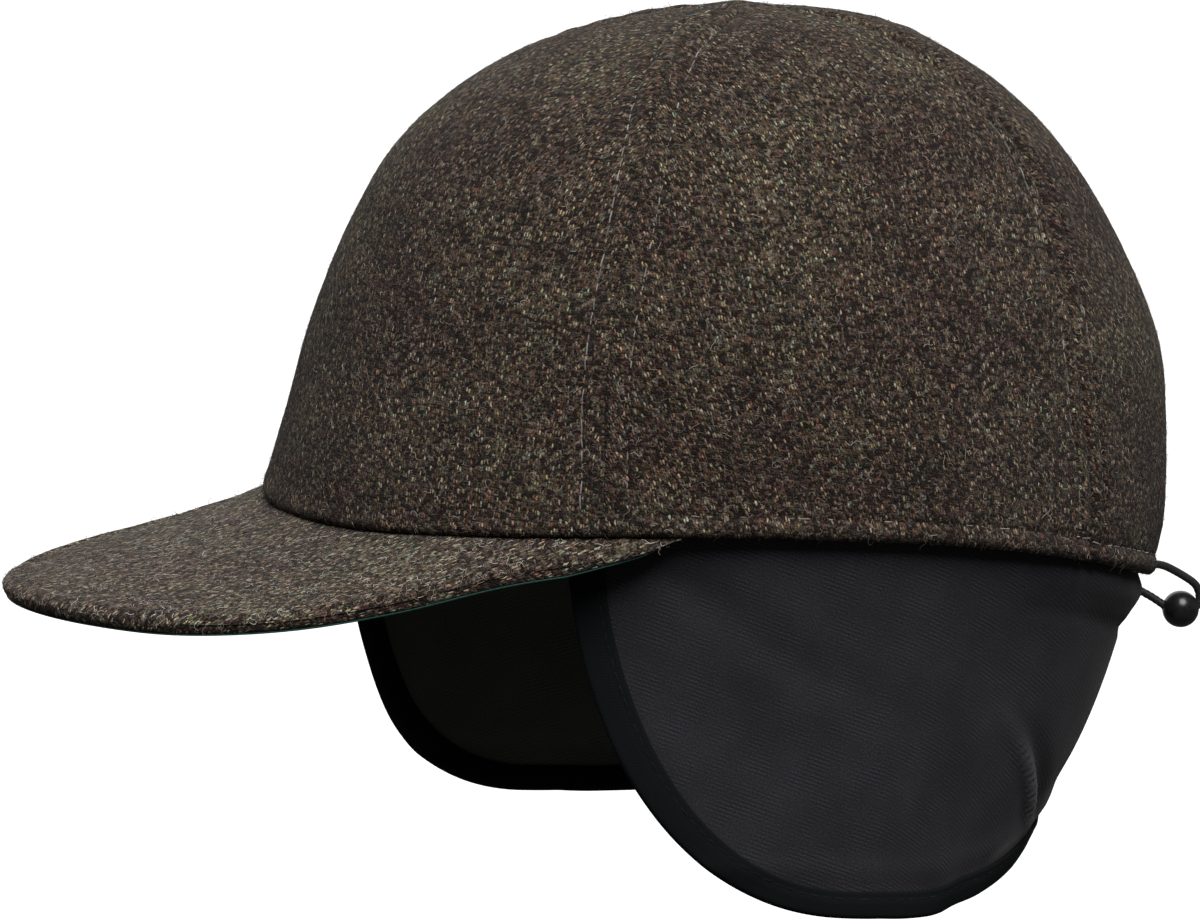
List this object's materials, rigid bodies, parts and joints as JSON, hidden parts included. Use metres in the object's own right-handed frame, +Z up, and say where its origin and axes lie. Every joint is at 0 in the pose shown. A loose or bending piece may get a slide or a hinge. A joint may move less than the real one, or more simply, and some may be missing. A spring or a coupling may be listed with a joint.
{
  "type": "duckbill cap",
  "caption": "Panelled wool cap with a short curved peak, a stretch ear band that hangs round the ears and nape, and an elastic drawcord with a bead at the back.",
  "frame": {"origin": "middle of the head opening, level with the hem", "axes": "+Z up through the crown, -Y to the front, where the peak points, +X to the wearer's left"},
  "size_m": [0.1724, 0.2994, 0.1962],
  "materials": {
    "tweed": "wool herringbone tweed, dark brown with tan, grey and rust flecks",
    "peak_lining": "plain woven cloth, teal green",
    "softshell": "matte stretch softshell, dark slate blue",
    "binding_tape": "matte elastic tape, near black",
    "cord": "braided elastic cord, black",
    "bead_plastic": "satin moulded, black"
  },
  "bodies": {
    "root": {"crown_panel_front": "tweed", "crown_panel_side_left": "tweed", "crown_panel_back_left": "tweed", "crown_panel_back_right": "tweed", "crown_panel_side_right": "tweed", "peak_cover": "tweed", "peak_lining": "peak_lining", "ear_band": "softshell", "band_binding": "binding_tape", "drawcord": "cord", "cord_bead": "bead_plastic"}
  },
  "joints": []
}
